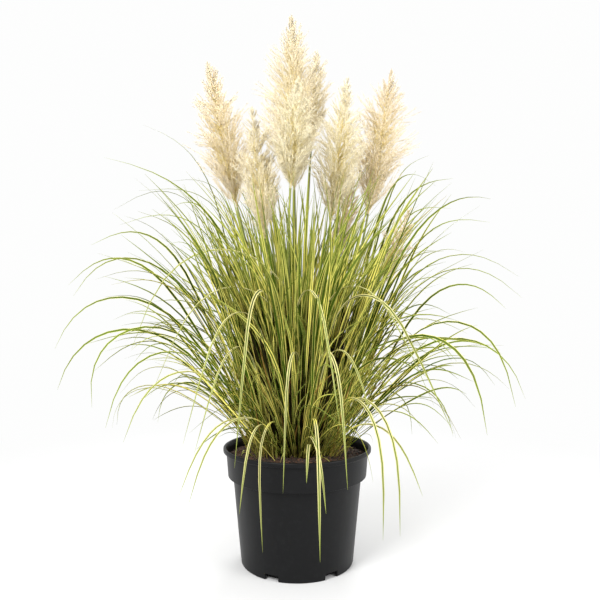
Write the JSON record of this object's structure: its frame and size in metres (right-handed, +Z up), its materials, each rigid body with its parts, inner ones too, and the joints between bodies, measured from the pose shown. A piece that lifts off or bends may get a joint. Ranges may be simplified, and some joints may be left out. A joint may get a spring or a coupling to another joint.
{
  "type": "potted pampas grass",
  "caption": "Clump of variegated pampas grass with arching leaves and tall feathery cream plumes, growing in a round black nursery pot.",
  "frame": {"origin": "middle of the pot's foot, on the surface that it stands on", "axes": "+Z up along the pot's axis, +Y away from the viewer of the plant's best side, +X to that viewer's right"},
  "size_m": [0.949, 0.8217, 1.143],
  "materials": {
    "black_plastic": "satin",
    "potting_soil": "matte",
    "variegated_leaf": "satin",
    "flower_stem": "satin",
    "plume": "matte"
  },
  "bodies": {
    "root": {"pot": "black_plastic", "potting_soil": "potting_soil", "leaf_shoot_01": "variegated_leaf", "leaf_shoot_02": "variegated_leaf", "leaf_shoot_03": "variegated_leaf", "leaf_shoot_04": "variegated_leaf", "leaf_shoot_05": "variegated_leaf", "leaf_shoot_06": "variegated_leaf", "leaf_shoot_07": "variegated_leaf", "leaf_shoot_08": "variegated_leaf", "leaf_shoot_09": "variegated_leaf", "leaf_shoot_10": "variegated_leaf", "leaf_shoot_11": "variegated_leaf", "leaf_shoot_12": "variegated_leaf", "leaf_shoot_13": "variegated_leaf", "leaf_shoot_14": "variegated_leaf", "leaf_shoot_15": "variegated_leaf", "leaf_shoot_16": "variegated_leaf", "leaf_shoot_17": "variegated_leaf", "leaf_shoot_18": "variegated_leaf", "leaf_shoot_19": "variegated_leaf", "leaf_shoot_20": "variegated_leaf", "leaf_shoot_21": "variegated_leaf", "leaf_shoot_22": "variegated_leaf", "leaf_shoot_23": "variegated_leaf", "leaf_shoot_24": "variegated_leaf", "leaf_shoot_25": "variegated_leaf", "leaf_shoot_26": "variegated_leaf", "leaf_shoot_27": "variegated_leaf", "leaf_shoot_28": "variegated_leaf", "leaf_shoot_29": "variegated_leaf", "leaf_shoot_30": "variegated_leaf", "leaf_shoot_31": "variegated_leaf", "leaf_shoot_32": "variegated_leaf", "leaf_shoot_33": "variegated_leaf", "leaf_shoot_34": "variegated_leaf", "leaf_shoot_35": "variegated_leaf", "leaf_shoot_36": "variegated_leaf", "flower_stem_left": "flower_stem", "flower_stem_front_left": "flower_stem", "flower_stem_small_left": "flower_stem", "flower_stem_tall": "flower_stem", "flower_stem_back": "flower_stem", "flower_stem_front": "flower_stem", "flower_stem_right_middle": "flower_stem", "flower_stem_right": "flower_stem", "flower_stem_small_back": "flower_stem", "flower_stem_small_right": "flower_stem", "plume_left": "plume", "plume_front_left": "plume", "plume_small_left": "plume", "plume_tall": "plume", "plume_back": "plume", "plume_front": "plume", "plume_right_middle": "plume", "plume_right": "plume", "plume_small_back": "plume", "plume_small_right": "plume"}
  },
  "joints": []
}
